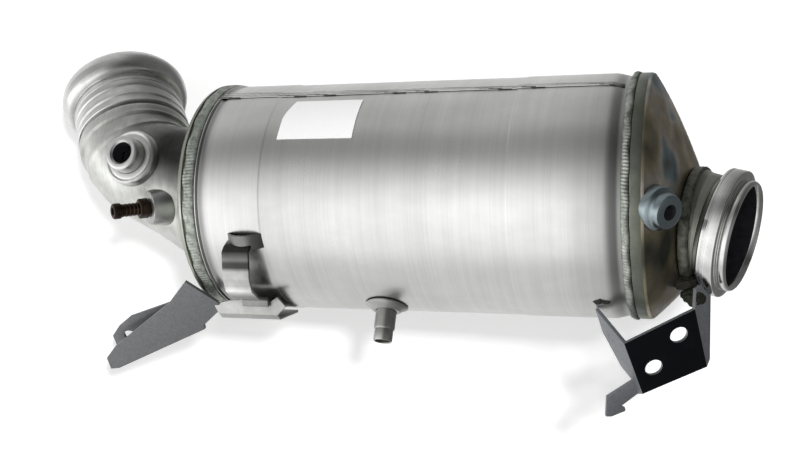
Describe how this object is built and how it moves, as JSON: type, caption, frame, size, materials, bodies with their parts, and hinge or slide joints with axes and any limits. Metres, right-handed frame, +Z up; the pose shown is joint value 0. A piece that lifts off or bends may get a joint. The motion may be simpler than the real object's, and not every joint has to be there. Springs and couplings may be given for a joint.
{
  "type": "diesel particulate filter",
  "caption": "Welded stainless exhaust filter can with an elbowed inlet and bell flange, an offset outlet dome with a clamp flange, sensor bosses, a stub pipe and two mounting brackets.",
  "frame": {"origin": "on the outlet bracket's bolting face, midway between its two bolt holes", "axes": "+X along the can towards the outlet, +Z up, and -Y towards the side that carries the brackets' open faces, the sensor bosses and the hose clip"},
  "size_m": [0.5303, 0.1736, 0.2594],
  "materials": {
    "brushed_stainless": "fine brushing round the can",
    "heat_stained_stainless": "pressed sheet, dulled and tinted by heat",
    "cast_stainless": "turned and cast stainless, satin",
    "plain_steel": "bright rolled sheet and bar",
    "weld_metal": "ripply weld bead, slightly oxidised",
    "machined_stainless": "machined, bright",
    "zinc_plated_steel": "bluish zinc plating",
    "coppered_steel": "dark coppered steel",
    "dark_steel_sheet": "dark satin sheet",
    "brick_ceramic": "porous honeycomb",
    "fibre_mat": "pressed fibre",
    "label_paper": "plain white"
  },
  "bodies": {
    "root": {"blank_label": "label_paper", "canister_shell": "brushed_stainless", "catalyst_brick": "brick_ceramic", "catalyst_mat": "fibre_mat", "catalyst_retainer": "plain_steel", "dome_sensor_boss": "zinc_plated_steel", "elbow_boss_pad": "cast_stainless", "elbow_sensor_boss": "cast_stainless", "filter_brick": "brick_ceramic", "filter_mat": "fibre_mat", "filter_retainer": "plain_steel", "fitting_nut": "coppered_steel", "foot_plate": "plain_steel", "hose_clip_strap": "plain_steel", "inlet_bracket": "dark_steel_sheet", "inlet_cone": "heat_stained_stainless", "inlet_flare": "cast_stainless", "inlet_neck": "cast_stainless", "inlet_rim_weld": "weld_metal", "outlet_bracket": "dark_steel_sheet", "outlet_dome": "heat_stained_stainless", "outlet_flange": "machined_stainless", "outlet_neck": "cast_stainless", "outlet_rim_weld": "weld_metal", "pressure_fitting": "coppered_steel", "pressure_pad": "plain_steel", "stub_base": "plain_steel", "stub_pipe": "plain_steel"}
  },
  "joints": []
}
